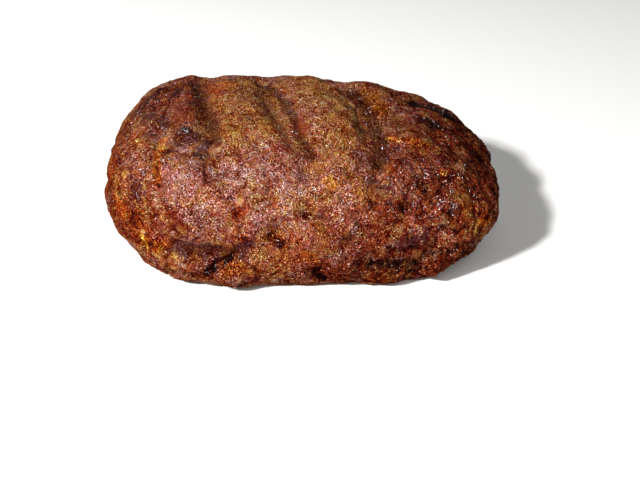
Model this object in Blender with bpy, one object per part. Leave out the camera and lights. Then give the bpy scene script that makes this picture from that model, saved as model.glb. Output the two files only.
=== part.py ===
"""Liver roll: a whole, uncut loaf of roast minced meat, shaped by hand and browned all over.

Metres, +Z up. The origin is on the surface the loaf stands on, under its middle. +X runs along
the loaf to its low, tapered end, and -Y is the broad front with the overhanging crust.
"""

from math import exp, pi, tan
from typing import NamedTuple

import bmesh
import bpy
from mathutils import Vector, geometry, noise

Point = tuple[float, float, float]


class Stroke(NamedTuple):
    """A swelling (rise above 0) or a furrow (rise below 0) that runs along a path on the surface."""

    path: tuple[Point, ...]
    half_width: float
    rise: float


class SeamStation(NamedTuple):
    """The seam above the foot roll at one place along the loaf: its height, and how the body meets it."""

    x: float
    height: float
    depth: float
    lip: float


# Size of the loaf before its crust is roughened
LENGTH = 0.2135
WIDTH = 0.134
HEIGHT = 0.0835

# Plan: a rounded oblong whose four corners are blunt to different degrees, by (end, side)
CORNER_POWER = {
    ("left", "front"): 2.8,
    ("right", "front"): 3.5,
    ("left", "back"): 3.6,
    ("right", "back"): 3.0,
}
RIGHT_NARROWING = 0.09
BEND = 0.006

# Section: domed above the belly, tucked in below it down to a flat base
SECTION_POWER = 2.45
BELLY_HEIGHT = 0.040
BASE_CUT = 0.70

# The top falls away from its highest part towards the right end
PEAK_AT = -0.25
RIGHT_FALL = 0.17
LEFT_RISE = 0.06

# Faces along the length, across the width and up the height
CELLS = (56, 33, 22)
TOUCHING = 1e-6

# Three broad furrows slant across the top, and a plump panel lies right of each
TOP_FURROWS = (
    Stroke(((-0.057, 0.030, 0.078), (-0.049, -0.016, 0.080), (-0.038, -0.052, 0.071)), 0.0066, -0.0048),
    Stroke(((-0.025, 0.031, 0.079), (-0.012, -0.012, 0.082), (0.004, -0.050, 0.071)), 0.0062, -0.0056),
    Stroke(((0.014, 0.041, 0.075), (0.033, -0.018, 0.079), (0.040, -0.053, 0.066)), 0.0058, -0.0052),
)
PANELS = (
    Stroke(((-0.038, 0.028, 0.079), (-0.030, -0.028, 0.081)), 0.0120, 0.0022),
    Stroke(((0.000, 0.030, 0.079), (0.016, -0.026, 0.080)), 0.0130, 0.0026),
    Stroke(((0.036, 0.030, 0.076), (0.052, -0.016, 0.076)), 0.0110, 0.0016),
)

# The knob beside the first furrow, and the hollows that burnt dark
KNOB = Stroke(((-0.064, 0.034, 0.072), (-0.060, -0.008, 0.079)), 0.0080, 0.0032)
BURNT_HOLLOWS = (
    Stroke(((-0.062, -0.036, 0.075), (-0.053, -0.041, 0.075)), 0.0075, -0.0034),
    Stroke(((0.064, 0.022, 0.069), (0.081, 0.019, 0.061)), 0.0070, -0.0016),
)

# Creases round the left shoulder, down the front and across the right end
CREASES = (
    Stroke(((-0.068, -0.004, 0.077), (-0.071, -0.035, 0.073), (-0.066, -0.056, 0.065)), 0.0036, -0.0024),
    Stroke(((-0.092, 0.006, 0.067), (-0.087, -0.025, 0.069), (-0.087, -0.045, 0.059)), 0.0038, -0.0018),
    Stroke(((-0.042, -0.040, 0.076), (-0.012, -0.038, 0.078)), 0.0040, -0.0018),
    Stroke(((0.006, -0.050, 0.071), (0.0095, -0.062, 0.061)), 0.0042, -0.0020),
    Stroke(((0.015, -0.036, 0.077), (0.035, -0.034, 0.075)), 0.0036, -0.0014),
    Stroke(((0.056, -0.054, 0.060), (0.053, -0.062, 0.049)), 0.0042, -0.0016),
    Stroke(((0.072, -0.046, 0.062), (0.076, -0.057, 0.044)), 0.0042, -0.0015),
    Stroke(((0.084, -0.044, 0.055), (0.087, -0.050, 0.036)), 0.0040, -0.0013),
    Stroke(((-0.028, -0.066, 0.055), (-0.028, -0.069, 0.044)), 0.0040, -0.0013),
)

# Two pits in the front; then the split, the arch and the notch in the foot
PITS = (
    Stroke(((0.005, -0.065, 0.055), (0.005, -0.066, 0.052)), 0.0048, -0.0036),
    Stroke(((-0.009, -0.068, 0.041), (-0.007, -0.068, 0.040)), 0.0046, -0.0032),
    Stroke(((-0.043, -0.068, 0.027), (-0.037, -0.067, 0.023)), 0.0048, -0.0032),
    Stroke(((0.010, -0.064, 0.011), (0.013, -0.064, 0.017)), 0.0048, -0.0030),
    Stroke(((0.060, -0.058, 0.012), (0.061, -0.056, 0.003)), 0.0052, -0.0032),
)
SWELLINGS = (
    Stroke(((-0.078, 0.026, 0.068), (-0.077, -0.005, 0.074)), 0.0150, 0.0016),
    Stroke(((-0.077, -0.022, 0.073), (-0.077, -0.046, 0.068)), 0.0055, 0.0018),
    Stroke(((-0.052, -0.056, 0.065), (-0.040, -0.064, 0.052)), 0.0150, 0.0018),
    Stroke(((-0.042, -0.062, 0.012), (-0.031, -0.062, 0.008)), 0.0080, 0.0030),
    Stroke(((0.070, -0.052, 0.006), (0.073, -0.051, 0.012)), 0.0050, 0.0024),
    Stroke(((0.020, -0.058, 0.064), (0.034, -0.062, 0.052)), 0.0120, 0.0014),
)

# Where the hand-shaped loaf goes past its rounded oblong, or falls short of it
SAGS = (
    Stroke(((-0.088, 0.045, 0.050), (-0.074, 0.050, 0.062)), 0.0200, 0.0014),
    Stroke(((0.046, 0.052, 0.054), (0.070, 0.044, 0.050)), 0.0170, 0.0024),
    Stroke(((0.084, -0.054, 0.004), (0.098, -0.038, 0.018)), 0.0160, -0.0046),
    Stroke(((-0.105, -0.014, 0.050), (-0.101, -0.035, 0.028)), 0.0180, -0.0026),
    Stroke(((-0.082, -0.050, 0.006), (-0.070, -0.058, 0.012)), 0.0090, 0.0022),
)
STROKES = (*TOP_FURROWS, *PANELS, KNOB, *BURNT_HOLLOWS, *CREASES, *PITS, *SWELLINGS, *SAGS)

# Seam along the front between the body and the foot roll that slumped outwards under it
FRONT_SEAM = (
    SeamStation(-0.104, 0.050, 0.0018, 0.0014),
    SeamStation(-0.088, 0.047, 0.0028, 0.0020),
    SeamStation(-0.076, 0.038, 0.0034, 0.0022),
    SeamStation(-0.062, 0.033, 0.0036, 0.0022),
    SeamStation(-0.045, 0.030, 0.0038, 0.0018),
    SeamStation(-0.025, 0.031, 0.0030, 0.0012),
    SeamStation(-0.008, 0.028, 0.0010, 0.0006),
    SeamStation(0.020, 0.024, 0.0008, 0.0004),
    SeamStation(0.036, 0.021, 0.0028, 0.0012),
    SeamStation(0.058, 0.020, 0.0028, 0.0010),
    SeamStation(0.078, 0.024, 0.0012, 0.0004),
    SeamStation(0.104, 0.028, 0.0006, 0.0002),
)
# Round the back it is shallow and level
BACK_SEAM = SeamStation(0.0, 0.026, 0.0014, 0.0008)
SEAM_TURN = 0.030
SEAM_HALF_WIDTH = 0.0042
LIP_DROP = 0.012
LIP_HALF_WIDTH = 0.0075

# Plates of crust, and the cracks where they drew apart
PLATE_SIZE = 0.023
WANDER_SIZE = 0.016
WANDER = 0.005
CRACK_SPREAD = 0.36
CRACK_DEPTH = 0.0013

# Crags of the hand-pressed surface, as (size, height)
CRAGS = ((0.034, 0.0019), (0.0145, 0.0013), (0.0085, 0.0008))
CRAG_OFFSET = Vector((4.1, 7.3, 1.9))
NOISE_SEED = 7

# Below this height the crags and plates fade towards the flat base
QUIET_HEIGHT = 0.008
QUIET_SHARE = 0.45

CRUST_COLOUR = (0.2307, 0.0723, 0.0319, 1.0)
CRUST_ROUGHNESS = 0.48


def blend(edge_low, edge_high, value):
    """Smooth step from 0 at edge_low to 1 at edge_high."""
    share = min(1.0, max(0.0, (value - edge_low) / (edge_high - edge_low)))
    return share * share * (3.0 - 2.0 * share)


def bell(distance, half_width):
    """1 at no distance, falling smoothly to nothing past twice the half width."""
    return exp(-((distance / half_width) ** 2))


def body_point(cube_point):
    """The point of the smooth loaf, without its relief, for a point of a cube from -1 to 1."""
    even = Vector([tan(share * pi / 4) for share in cube_point]).normalized()
    plan_power = CORNER_POWER["left" if even.x < 0 else "right", "front" if even.y < 0 else "back"]
    plan = abs(even.x) ** plan_power + abs(even.y) ** plan_power
    reach = (plan ** (SECTION_POWER / plan_power) + abs(even.z) ** SECTION_POWER) ** (-1 / SECTION_POWER)
    along, across, up = even * reach
    rise = (HEIGHT - BELLY_HEIGHT) if up > 0 else BELLY_HEIGHT / BASE_CUT
    right_of_peak = max(0.0, (along - PEAK_AT) / (1 - PEAK_AT))
    left_of_peak = max(0.0, (PEAK_AT - along) / (1 + PEAK_AT))
    height = (BELLY_HEIGHT + rise * up) * (1 - RIGHT_FALL * right_of_peak**2 + LEFT_RISE * left_of_peak**2)
    y = across * WIDTH / 2 * (1 - RIGHT_NARROWING * along) - BEND * along**2
    return Vector((along * LENGTH / 2, y, max(0.0, height)))


def distance_to_path(point, path):
    """How far a point is from the nearest stretch of a path."""
    nearest = []
    for start, end in zip(path, path[1:]):
        foot, share = geometry.intersect_point_line(point, start, end)
        on_path = Vector(start).lerp(Vector(end), min(1.0, max(0.0, share)))
        nearest.append((point - on_path).length)
    return min(nearest)


def stroke_relief(point):
    """The rise of all the furrows, panels, creases, pits and swellings at a point."""
    return sum(s.rise * bell(distance_to_path(point, s.path), s.half_width) for s in STROKES)


def seam_at(point):
    """The seam beside a point: the front's stations joined smoothly, turning into the back's."""
    for left, right in zip(FRONT_SEAM, FRONT_SEAM[1:]):
        if point.x <= right.x:
            break
    share = blend(left.x, right.x, point.x)
    to_back = blend(0.0, SEAM_TURN, point.y)
    mixed = [a + (b - a) * share for a, b in zip(left, right)]
    return SeamStation(*[a + (b - a) * to_back for a, b in zip(mixed, BACK_SEAM)])


def seam_relief(point):
    """The seam's crease, and the lip that stands out below it."""
    seam = seam_at(point)
    below = seam.height - point.z
    return seam.lip * bell(below - LIP_DROP, LIP_HALF_WIDTH) - seam.depth * bell(below, SEAM_HALF_WIDTH)


def crust_relief(point):
    """Crags of several sizes, and the cracks between the plates of crust."""
    crags = sum(height * noise.noise(point / size + CRAG_OFFSET) for size, height in CRAGS)
    wandered = point + WANDER * noise.noise_vector(point / WANDER_SIZE)
    nearest, second = noise.voronoi(wandered / PLATE_SIZE)[0][:2]
    crack = 1.0 - blend(0.0, CRACK_SPREAD, second - nearest)
    quiet = QUIET_SHARE + (1.0 - QUIET_SHARE) * blend(0.0, QUIET_HEIGHT, point.z)
    return (crags - CRACK_DEPTH * crack) * quiet


def roughen(vert):
    """Moves a vertex along its normal by the relief there, and one of the flat base only sideways."""
    outward = vert.normal.copy()
    if vert.co.z == 0.0:
        outward.z = 0.0
        outward.normalize()
    relief = stroke_relief(vert.co) + seam_relief(vert.co) + crust_relief(vert.co)
    moved = vert.co + outward * relief
    vert.co = (moved.x, moved.y, max(0.0, moved.z))


def centre(shape):
    """Moves the loaf sideways until its bounding box is centred over the origin."""
    for axis in (0, 1):
        places = [vert.co[axis] for vert in shape.verts]
        middle = (min(places) + max(places)) / 2
        for vert in shape.verts:
            vert.co[axis] -= middle


def crust_material():
    """The browned crust, in the photo's mean colour and its greasy half-gloss."""
    material = bpy.data.materials.new("browned_mince_crust")
    material.use_nodes = True
    shader = material.node_tree.nodes["Principled BSDF"]
    shader.inputs["Base Color"].default_value = CRUST_COLOUR
    shader.inputs["Roughness"].default_value = CRUST_ROUGHNESS
    shader.inputs["Metallic"].default_value = 0.0
    return material


def loaf_mesh():
    """The loaf as one closed mesh, standing on a single flat face."""
    shape = bmesh.new()
    bmesh.ops.create_cube(shape, size=2.0)
    for axis, cells in enumerate(CELLS):
        edges = [edge for edge in shape.edges if abs((edge.verts[1].co - edge.verts[0].co)[axis]) > TOUCHING]
        bmesh.ops.subdivide_edges(shape, edges=edges, cuts=cells - 1, use_grid_fill=True)
    for vert in shape.verts:
        vert.co = body_point(vert.co)
    shape.normal_update()
    base = [face for face in shape.faces if all(vert.co.z == 0.0 for vert in face.verts)]
    bmesh.ops.dissolve_faces(shape, faces=base, use_verts=True)
    for vert in shape.verts:
        roughen(vert)
    centre(shape)
    quads = [face for face in shape.faces if len(face.verts) == 4]
    bmesh.ops.triangulate(shape, faces=quads, quad_method="BEAUTY")
    for face in shape.faces:
        face.smooth = True
    mesh = bpy.data.meshes.new("liver_roll")
    shape.to_mesh(mesh)
    shape.free()
    return mesh


def main():
    for old in list(bpy.data.objects):
        bpy.data.objects.remove(old)
    noise.seed_set(NOISE_SEED)
    loaf = bpy.data.objects.new("liver_roll", loaf_mesh())
    loaf.data.materials.append(crust_material())
    bpy.context.scene.collection.objects.link(loaf)


main()
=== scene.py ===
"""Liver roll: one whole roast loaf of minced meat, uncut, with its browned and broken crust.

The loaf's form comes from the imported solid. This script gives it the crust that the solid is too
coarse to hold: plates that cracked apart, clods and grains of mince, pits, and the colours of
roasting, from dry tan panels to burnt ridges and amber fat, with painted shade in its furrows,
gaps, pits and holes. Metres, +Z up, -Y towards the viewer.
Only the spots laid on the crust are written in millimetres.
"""

from __future__ import annotations

import logging
import math
from dataclasses import dataclass
from enum import Enum

import bpy
import numpy as np
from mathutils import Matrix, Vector


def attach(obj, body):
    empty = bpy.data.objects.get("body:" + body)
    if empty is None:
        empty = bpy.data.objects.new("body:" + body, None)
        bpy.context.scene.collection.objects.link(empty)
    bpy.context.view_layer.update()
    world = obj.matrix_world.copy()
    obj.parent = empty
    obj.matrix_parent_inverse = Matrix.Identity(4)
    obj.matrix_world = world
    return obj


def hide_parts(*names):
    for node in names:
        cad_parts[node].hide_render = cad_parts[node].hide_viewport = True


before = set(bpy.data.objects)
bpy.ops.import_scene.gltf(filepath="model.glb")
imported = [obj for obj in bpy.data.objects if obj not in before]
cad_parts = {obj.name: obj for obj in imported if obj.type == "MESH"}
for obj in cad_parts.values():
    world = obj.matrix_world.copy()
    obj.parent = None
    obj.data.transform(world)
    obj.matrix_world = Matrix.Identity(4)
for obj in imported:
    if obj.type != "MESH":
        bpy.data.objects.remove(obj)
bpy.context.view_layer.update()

LOG = logging.getLogger("liver_roll")
MM = 0.001
MIDDLE = (0.5, 0.5, 0.5)
MATH = "ShaderNodeMath"
VECTOR_MATH = "ShaderNodeVectorMath"
MAP_RANGE = "ShaderNodeMapRange"
NOISE = "ShaderNodeTexNoise"
# What the loaf and the relief store at each point for the crust's shader to read.
LOAF_MARKS = ("ruddy", "coarse", "browned", "basted")
RELIEF_MARKS = ("crack", "crease", "pit", "clod", "rise_mm")

Point = tuple[float, float, float]
Path = tuple[Point, ...]
Span = tuple[float, float]
Rgba = tuple[float, float, float, float]
Tree = bpy.types.NodeTree
Socket = bpy.types.NodeSocket
Sockets = bpy.types.bpy_prop_collection
Marks = dict[str, Socket]


def linear(code: str) -> Rgba:
    """Turns an sRGB hex colour into the linear values that shaders take.

    Args:
        code: the colour as "#rrggbb".

    Returns:
        Red, green and blue in linear light, and an alpha of 1.
    """
    channels = [int(code[i : i + 2], 16) / 255 for i in (1, 3, 5)]
    light = [c / 12.92 if c <= 0.04045 else ((c + 0.055) / 1.055) ** 2.4 for c in channels]
    return (light[0], light[1], light[2], 1.0)


def add_node(
    tree: Tree,
    kind: str,
    inputs: dict[int | str, object] | None = None,
    out: int | str = 0,
    **settings: object,
) -> Socket | None:
    """Adds a node with its settings, values and links.

    Args:
        tree: the material's or the modifier's node tree.
        kind: Blender's name for the node type.
        inputs: by socket index or name, the value of an input or the output linked to it.
        out: which output to hand back.
        settings: properties of the node itself.

    Returns:
        The chosen output, or None for a node that has none.
    """
    node = tree.nodes.new(kind)
    for name, value in settings.items():
        setattr(node, name, value)
    for key, value in (inputs or {}).items():
        if isinstance(value, bpy.types.NodeSocket):
            tree.links.new(value, node.inputs[key])
        else:
            node.inputs[key].default_value = value
    return node.outputs[out] if len(node.outputs) else None


def only(piece: bpy.types.Object) -> None:
    """Makes a piece the active object and the only selected one."""
    bpy.ops.object.select_all(action="DESELECT")
    piece.select_set(True)
    bpy.context.view_layer.objects.active = piece


class Patch(Enum):
    """What roasting made of a part of the crust, and the painted shade and sheen laid on some parts. The
    value names the piece's attribute.
    """

    PANEL = "dry_panel"
    # Dull scorched brown, and painted shade along the seam at the foot.
    SCORCH_AND_SHADE = "scorch_and_shade"
    # Burnt black, and painted shade in holes and under the belly.
    CHAR_AND_SHADE = "char_and_shade"
    FAT = "amber_fat"
    # Pink meat, partly a painted sheen of grease.
    BLUSH_AND_SHEEN = "blush_and_sheen"
    RUST = "rust"
    OLIVE = "olive"
    # Furrows and folds, darkened with painted shade.
    SHADED_FURROW = "shaded_furrow"
    # Pits and holes, darkened partly by juice and partly with painted shade.
    SHADED_PIT = "shaded_juice_pit"
    TALLOW = "pale_fat"
    SKIN = "slick_skin"
    ROASTED = "roasted"
    PALE = "pale"


@dataclass(frozen=True)
class Spot:
    """A patch along a path on the crust, strongest on the path. Its sizes are in millimetres."""

    path: Path
    half_width: float
    strength: float = 1.0

    def weight(self, points: np.ndarray) -> np.ndarray:
        """How much of the patch there is at each point.

        Args:
            points: positions on the crust in metres, one a row.

        Returns:
            A weight for each point, from 0 to the strength.
        """
        nodes = np.array(self.path) * MM
        no_length = 1e-12
        nearest = np.full(len(points), np.inf)
        for start, end in zip(nodes, nodes[1:] if len(nodes) > 1 else nodes):
            span = end - start
            share = np.clip((points - start) @ span / max(span @ span, no_length), 0.0, 1.0)
            nearest = np.minimum(nearest, np.linalg.norm(points - start - share[:, None] * span, axis=1))
        return self.strength * np.exp(-((nearest / (self.half_width * MM)) ** 2))


# Holes at the foot, darkened with painted shade.
SEAM_HOLE: Path = ((-46, -67, 18), (-40, -65, 23), (-34, -64, 26))
FOOT_HOLE: Path = ((9, -60, 14), (12, -58, 9))
# Folds of the front, darkened with painted shade; the red ones are also rust-red streaks.
RED_FOLDS: tuple[Path, ...] = (
    ((-71, -41, 71), (-68, -56, 64), (-65, -64, 56), (-62, -65, 51), (-53, -67, 45)),
    ((-69, -38, 71), (-57, -42, 72), (-46, -48, 71), (-44, -59, 67)),
    ((-32, -62, 60), (-30, -66, 55), (-28, -66, 42)),
)
FOLDS: tuple[Path, ...] = (
    *RED_FOLDS,
    ((-17, -51, 71), (-14, -60, 63), (-13, -63, 56)),
    ((21, -60, 60), (26, -65, 53), (32, -65, 44)),
    ((43, -35, 73), (45, -43, 69), (45, -50, 63)),
    ((60, -40, 68), (63, -49, 61), (62, -53, 56)),
    ((2, -60, 58), (7, -61, 50), (17, -65, 50)),
)

SPOTS: dict[Patch, tuple[Spot, ...]] = {
    # The dry tan panels between the furrows, which swelled up on top.
    Patch.PANEL: (
        Spot(((-43, 14, 82), (-35, -12, 83), (-30, -31, 79)), 11.0),
        Spot(((-30, 16, 83), (-22, -9, 81), (-18, -29, 80)), 9.0),
        Spot(((-23, 13, 80), (-16, 0, 77), (-10, -17, 77)), 7.0),
        Spot(((1, 22, 83), (11, 0, 83), (19, -27, 81)), 12.5),
        Spot(((14, 20, 81), (24, -26, 80)), 8.5),
        Spot(((15, -43, 74), (23, -42, 74)), 5.0, 0.9),
        Spot(((23, 2, 80), (27, -18, 79)), 5.5, 1.1),
    ),
    # Dull brown round the knob and on the right shoulder, and painted shade along the seam at the foot,
    # under the overhanging lip.
    Patch.SCORCH_AND_SHADE: (
        Spot(((-64, -39, 72), (-58, -30, 76), (-49, -32, 75), (-48, -43, 72)), 6.2, 0.75),
        Spot(((60, 19, 71), (74, 18, 67), (84, 20, 61), (93, 4, 56), (96, -13, 52)), 6.0, 0.8),
        Spot(((64, -2, 71), (74, -1, 67)), 5.0, 0.8),
        # Painted shade along the seam, under the overhanging lip.
        Spot(((-62, -63, 31), (-50, -64, 30), (-34, -65, 30), (-25, -66, 35)), 4.4, 1.2),
        Spot(((59, -50, 61), (65, -53, 56)), 4.2, 0.9),
        Spot(((47, -63, 29), (56, -63, 35), (63, -62, 38)), 6.0, 0.7),
        Spot(((-80, -55, 61), (-78, -59, 53)), 5.0, 0.6),
        Spot(((-91, 9, 69), (-84, -3, 73), (-72, -15, 75)), 4.6, 0.95),
        Spot(((-88, 21, 70), (-77, 24, 76)), 6.0, 0.95),
        Spot(((-70, 10, 80), (-66, 22, 80)), 4.5, 0.7),
        Spot(((43, -61, 57), (52, -59, 53)), 3.0, 0.5),
    ),
    # Black: the burnt ridge at the back right and specks beside the knob, and painted shade in the holes at
    # the foot and under the overhanging belly at the right of the foot.
    Patch.CHAR_AND_SHADE: (
        Spot(((62, 24, 69), (70, 23, 67), (78, 24, 63)), 5.6, 1.5),
        Spot(((67, 2, 71), (72, 0, 68)), 2.8, 1.1),
        Spot(((-60, -25, 78), (-56, -28, 77)), 1.4, 0.7),
        Spot(((-52, -40, 72), (-47, -46, 72)), 1.3, 0.9),
        Spot(SEAM_HOLE, 2.2),
        Spot(FOOT_HOLE, 2.6, 0.9),
        # Painted shade under the overhanging belly at the right of the foot.
        Spot(((36, -59, 20), (53, -59, 20), (60, -56, 19)), 4.6, 0.8),
    ),
    # Amber fat, which ran down the left rim and gathered at the foot and between the panels.
    Patch.FAT: (
        Spot(((-86, -20, 71), (-82, -32, 73)), 4.2, 0.8),
        Spot(((-69, -28, 73), (-70, -35, 71), (-70, -46, 70), (-69, -55, 64)), 2.0, 1.5),
        Spot(((-103, 1, 56), (-96, -33, 63), (-80, -56, 45)), 12.0, 0.55),
        Spot(((-55, 31, 75), (-42, 10, 82)), 6.5, 0.5),
        Spot(((-94, -44, 55), (-89, -51, 44)), 6.0, 0.95),
        Spot(((-80, -60, 33), (-73, -62, 31), (-67, -62, 32)), 4.0, 0.85),
        Spot(((-37, -65, 20), (-30, -66, 20)), 5.0, 1.1),
        Spot(((-25, -67, 18), (-21, -65, 16)), 3.5, 0.8),
        Spot(((33, 22, 78), (41, -1, 78)), 6.0, 1.1),
        Spot(((45, -27, 75), (63, -26, 71)), 3.0, 0.85),
        Spot(((70, -41, 64), (72, -42, 63)), 2.2),
        Spot(((12, -54, 67), (18, -57, 65)), 3.6, 0.6),
        Spot(((-27, -66, 55), (-26, -67, 47), (-26, -67, 39)), 2.8, 0.45),
        Spot(((4, -65, 30), (10, -62, 22)), 3.5, 0.7),
        Spot(((22, -62, 10), (47, -58, 6)), 4.5, 0.8),
        Spot(((93, -49, 40), (95, -47, 38)), 3.5),
    ),
    # Pinker on the front and on the right shoulder: partly the meat's own colour, partly a painted sheen of
    # the grease.
    Patch.BLUSH_AND_SHEEN: (
        Spot(((-60, -56, 68), (-32, -55, 67), (-4, -54, 67)), 13.0, 0.7),
        Spot(((-50, -64, 50), (-20, -66, 50)), 13.0, 0.5),
        Spot(((46, 12, 78), (56, 3, 74)), 5.0, 0.7),
        Spot(((30, -62, 45), (20, -64, 55)), 8.0, 0.5),
        Spot(((51, -62, 33), (63, -62, 35)), 6.0, 0.6),
        Spot(((-61, -37, 73), (-58, -39, 73)), 3.5, 0.8),
    ),
    # Rust-red streaks and stains, some of them along the folds.
    Patch.RUST: (
        Spot(((-74, 26, 77), (-61, -7, 81)), 13.0, 0.6),
        Spot(((-89, 2, 71), (-69, -13, 76)), 7.5, 0.5),
        Spot(((-82, -54, 45), (-67, -62, 36)), 6.0),
        Spot(((-54, 27, 76), (-45, 10, 81)), 6.0),
        Spot(((-12, -40, 77), (-7, -40, 76)), 3.5),
        Spot(((-1, -21, 81), (1, -28, 79)), 3.4, 0.8),
        Spot(((1, -66, 34), (11, -60, 17)), 8.0, 0.7),
        Spot(((43, -62, 56), (59, -57, 52)), 7.0, 1.1),
        Spot(((79, 0, 65), (92, -25, 56)), 12.0, 0.65),
        Spot(((-27, -66, 55), (-26, -67, 47), (-26, -67, 39)), 4.8, 0.9),
        Spot(((67, -54, 11), (67, -54, 9)), 4.0),
        Spot(((70, 10, 60), (100, 10, 40)), 33.0, 0.3),
        Spot(((40, -50, 50), (96, -30, 40)), 26.0, 0.25),
        Spot(((43, -61, 57), (52, -59, 53), (70, -57, 52)), 5.0),
        Spot(((47, -41, 71), (51, -46, 67)), 4.0, 0.8),
        Spot(((-87, -52, 48), (-78, -57, 39), (-67, -61, 35)), 2.2, 0.9),
        Spot(((64, -37, 68), (66, -40, 67)), 3.2, 0.7),
        *(Spot(fold, 2.2, 0.9) for fold in RED_FOLDS),
    ),
    # Yellow-brown stains.
    Patch.OLIVE: (
        Spot(((-100, 12, 60), (-101, -8, 58), (-97, -28, 56)), 10.0, 0.7),
        Spot(((-37, -28, 80), (-33, -32, 80)), 5.5, 0.45),
        Spot(((4, -60, 55), (7, -60, 52)), 4.0, 1.3),
        Spot(((-13, -63, 41), (-7, -64, 35)), 6.0),
        Spot(((33, -60, 61), (42, -58, 60)), 5.5),
        Spot(((83, -52, 50), (90, -48, 40)), 8.0),
        Spot(((22, -62, 13), (47, -58, 8)), 7.0),
        Spot(((-74, -62, 27), (-58, -67, 20), (-45, -67, 15)), 6.5, 0.4),
    ),
    # The broad furrows that come over the top, then the thin folds of the front: each sunk a little and
    # darkened with painted shade.
    Patch.SHADED_FURROW: (
        Spot(((-60, 24, 79), (-55, 6, 78), (-48, -13, 76), (-42, -32, 75)), 4.6),
        Spot(((-21, 27, 77), (-11, 3, 80), (-5, -12, 81), (-1, -30, 77), (6, -43, 72)), 3.0),
        Spot(((25, 23, 77), (35, -4, 77), (40, -28, 73), (40, -42, 68)), 4.2, 1.25),
        Spot(((77, -21, 66), (78, -41, 62), (76, -56, 49)), 3.5, 0.5),
        *(Spot(fold, 1.1, 0.75) for fold in FOLDS),
    ),
    # Deep pits and holes where juice came out: sunk into the crust and darkened, partly by juice and partly
    # with painted shade.
    Patch.SHADED_PIT: (
        Spot(((-20, -61, 64),), 1.0, 1.3),
        Spot(((-26, -59, 65),), 1.1, 1.1),
        Spot(((-13, -64, 39), (-9, -64, 35)), 2.0),
        Spot(((3, -60, 51), (4, -60, 49)), 2.0, 0.8),
        Spot(SEAM_HOLE, 1.8, 1.1),
        Spot(FOOT_HOLE, 2.2, 1.3),
        Spot(((34, -60, 58), (37, -60, 57)), 1.6, 0.8),
        Spot(((50, -59, 54), (52, -59, 53)), 1.4, 0.9),
        Spot(((22, 6, 82), (25, 1, 81)), 2.0, 0.6),
    ),
    # Small pale drops and threads of fat.
    Patch.TALLOW: (
        Spot(((-21, -37, 77), (-15, -40, 76)), 1.1, 1.1),
        Spot(((13, -39, 76), (15, -36, 77)), 0.8, 0.6),
        Spot(((43, -26, 75), (51, -28, 74)), 1.0, 1.1),
        Spot(((-78, -58, 37), (-79, -61, 32)), 1.3, 1.2),
        Spot(((-85, -26, 72), (-83, -29, 72)), 1.4, 0.9),
        Spot(((-53, -63, 24), (-46, -65, 24)), 1.0, 0.9),
        Spot(((-26, -67, 51), (-27, -67, 43)), 0.9, 0.3),
        Spot(((-56, -32, 76),), 1.8, 0.6),
        Spot(((-51, -35, 74), (-50, -38, 73)), 1.8, 0.6),
        Spot(((4, -60, 56), (6, -60, 54)), 1.8, 0.45),
    ),
    # Smooth skins, where no crumbs show.
    Patch.SKIN: (
        Spot(((-1, -21, 81), (1, -28, 79)), 3.4, 1.2),
        Spot(((-51, -35, 74), (-50, -38, 73)), 2.0),
    ),
    # Darker than the crust round them.
    Patch.ROASTED: (
        Spot(((-103, 1, 56), (-96, -33, 60), (-89, -51, 40)), 16.0, 1.1),
        Spot(((-80, -60, 52), (-45, -66, 42)), 12.0, 0.4),
        Spot(((33, 22, 78), (41, -1, 78)), 6.0, 0.5),
        Spot(((22, -62, 10), (47, -58, 6)), 6.0, 0.9),
        Spot(((-78, 23, 75), (-61, 2, 80)), 12.0, 0.8),
        Spot(((20, -66, 43), (46, -63, 42)), 11.0, 0.7),
        Spot(((-40, 14, 82), (-25, -20, 82)), 15.0, 0.35),
        Spot(((-13, -64, 39), (-7, -64, 35)), 6.0, 0.5),
        Spot(((22, -63, 20), (31, -61, 22)), 4.0, 1.2),
        Spot(((-74, -63, 32), (-68, -63, 30)), 3.5, 1.1),
        Spot(((9, -59, 64), (10, -58, 59)), 2.8, 1.1),
        Spot(((-88, 14, 70), (-71, -4, 77)), 8.0, 0.5),
        Spot(((-66, -16, 77), (-62, -22, 77), (-57, -32, 76)), 4.0, 1.1),
        Spot(((6, -42, 73), (9, -43, 72)), 3.2, 0.9),
        Spot(((-30, -66, 20), (-22, -66, 17)), 4.5, 0.8),
        Spot(((33, -61, 58), (34, -61, 55)), 3.0, 1.1),
        Spot(((33, -63, 30), (41, -62, 28)), 4.5, 0.9),
        Spot(((-50, -67, 23), (-47, -66, 23)), 3.5, 0.9),
        Spot(((-26, -37, 77), (-19, -41, 76)), 3.0, 0.8),
        Spot(((-37, -67, 18), (-34, -67, 18)), 3.5, 0.9),
        Spot(((29, -63, 55), (32, -63, 55)), 3.0, 0.9),
        Spot(((72, -50, 57), (73, -51, 56)), 3.5, 0.9),
        Spot(((-35, -41, 74), (-32, -41, 75)), 3.0, 0.8),
        Spot(((64, -37, 68), (66, -40, 67)), 3.2, 0.9),
        Spot(((-70, -63, 21), (-68, -63, 20)), 3.5, 0.8),
    ),
    # Paler than the crust round them.
    Patch.PALE: (
        Spot(((-60, -54, 69), (-4, -52, 68), (25, -60, 58)), 11.0, 0.5),
        Spot(((-20, -66, 48), (2, -65, 40)), 11.0, 0.5),
        Spot(((4, -60, 55), (7, -60, 52)), 4.5, 0.9),
        Spot(((33, -60, 61), (42, -58, 60)), 4.5, 0.2),
        Spot(((58, -43, 67), (62, -47, 63)), 2.8),
        Spot(((55, -61, 47), (59, -62, 44)), 4.0, 0.9),
        Spot(((83, -52, 50), (92, -45, 34)), 6.5, 0.6),
        Spot(((55, 11, 74), (59, 12, 73)), 3.0, 0.9),
        Spot(((-70, -63, 28), (-55, -67, 16)), 8.0, 0.6),
        Spot(((-29, -64, 59), (-25, -64, 57)), 3.5, 1.3),
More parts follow.
